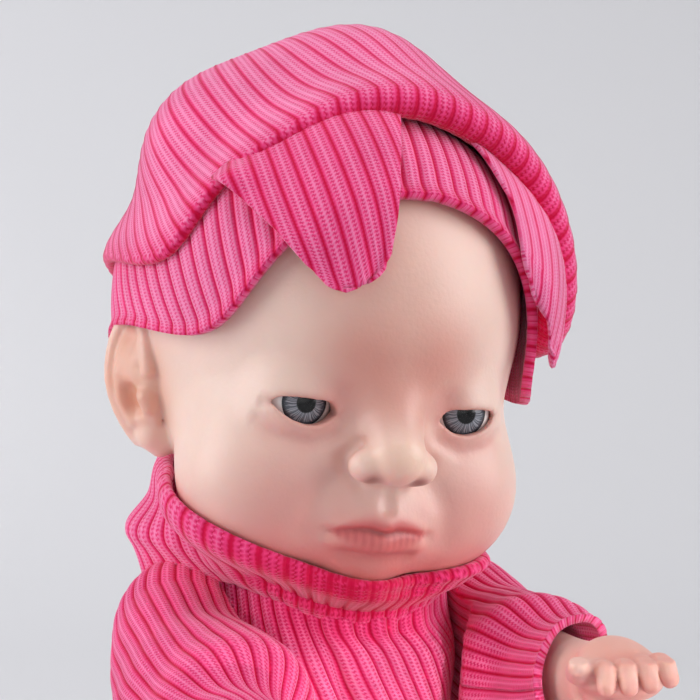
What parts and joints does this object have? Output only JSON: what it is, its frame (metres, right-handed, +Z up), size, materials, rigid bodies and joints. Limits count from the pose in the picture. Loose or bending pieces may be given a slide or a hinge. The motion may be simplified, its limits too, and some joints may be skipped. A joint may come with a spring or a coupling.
{
  "type": "baby doll",
  "caption": "Newborn vinyl baby doll sitting in a hot-pink rib-knit romper with a rolled collar and a matching knit hat with petals; head, arms and legs turn and the hat lifts off.",
  "frame": {"origin": "on the flat seat of the romper, on the vertical axis through the neck joint", "axes": "+Z up, the doll faces -Y, its left side is +X"},
  "size_m": [0.1188, 0.1326, 0.1626],
  "materials": {
    "vinyl_skin": "matte soft vinyl with a sprayed blush",
    "rib_knit": "two-by-two rib knit",
    "eye_white": "gloss",
    "iris_grey": "printed radial streaks",
    "cornea_clear": "clear gloss"
  },
  "bodies": {
    "trunk": {"torso_shell": "vinyl_skin", "romper_front": "rib_knit", "romper_back": "rib_knit", "collar": "rib_knit"},
    "head": {"head_shell": "vinyl_skin", "eye_right": "eye_white", "iris_right": "iris_grey", "cornea_right": "cornea_clear", "eye_left": "eye_white", "iris_left": "iris_grey", "cornea_left": "cornea_clear"},
    "hat": {"hat_band": "rib_knit", "hat_crown": "rib_knit", "hat_petal_1": "rib_knit", "hat_petal_2": "rib_knit", "hat_petal_3": "rib_knit"},
    "right_arm": {"arm_right": "vinyl_skin", "sleeve_right": "rib_knit"},
    "left_arm": {"arm_left": "vinyl_skin", "sleeve_left": "rib_knit"},
    "right_leg": {"leg_right": "vinyl_skin", "romper_leg_right": "rib_knit"},
    "left_leg": {"leg_left": "vinyl_skin", "romper_leg_left": "rib_knit"}
  },
  "joints": [
    {"name": "neck_turn", "type": "hinge", "parent": "trunk", "child": "head", "pos_m": [0, 0, 0.0747], "axis": [0, 0, 1], "range_deg": [-50, 50], "deforming": ["collar"]},
    {"name": "right_shoulder", "type": "hinge", "parent": "trunk", "child": "right_arm", "pos_m": [-0.02349, 0, 0.0656], "axis": [1, 0, 0], "range_deg": [-26, 9], "deforming": ["collar"]},
    {"name": "left_shoulder", "type": "hinge", "parent": "trunk", "child": "left_arm", "pos_m": [0.02349, 0, 0.0656], "axis": [1, 0, 0], "range_deg": [-10, 25], "deforming": ["collar"]},
    {"name": "right_hip", "type": "hinge", "parent": "trunk", "child": "right_leg", "pos_m": [-0.02899, -0.004, 0.0176], "axis": [1, 0, 0], "range_deg": [-10, 90]},
    {"name": "left_hip", "type": "hinge", "parent": "trunk", "child": "left_leg", "pos_m": [0.02899, -0.004, 0.0176], "axis": [1, 0, 0], "range_deg": [-10, 90]},
    {"name": "hat_lift", "type": "slide", "parent": "head", "child": "hat", "axis": [0.1032, 0.1564, 0.9823], "range_m": [0, 0.07]}
  ]
}
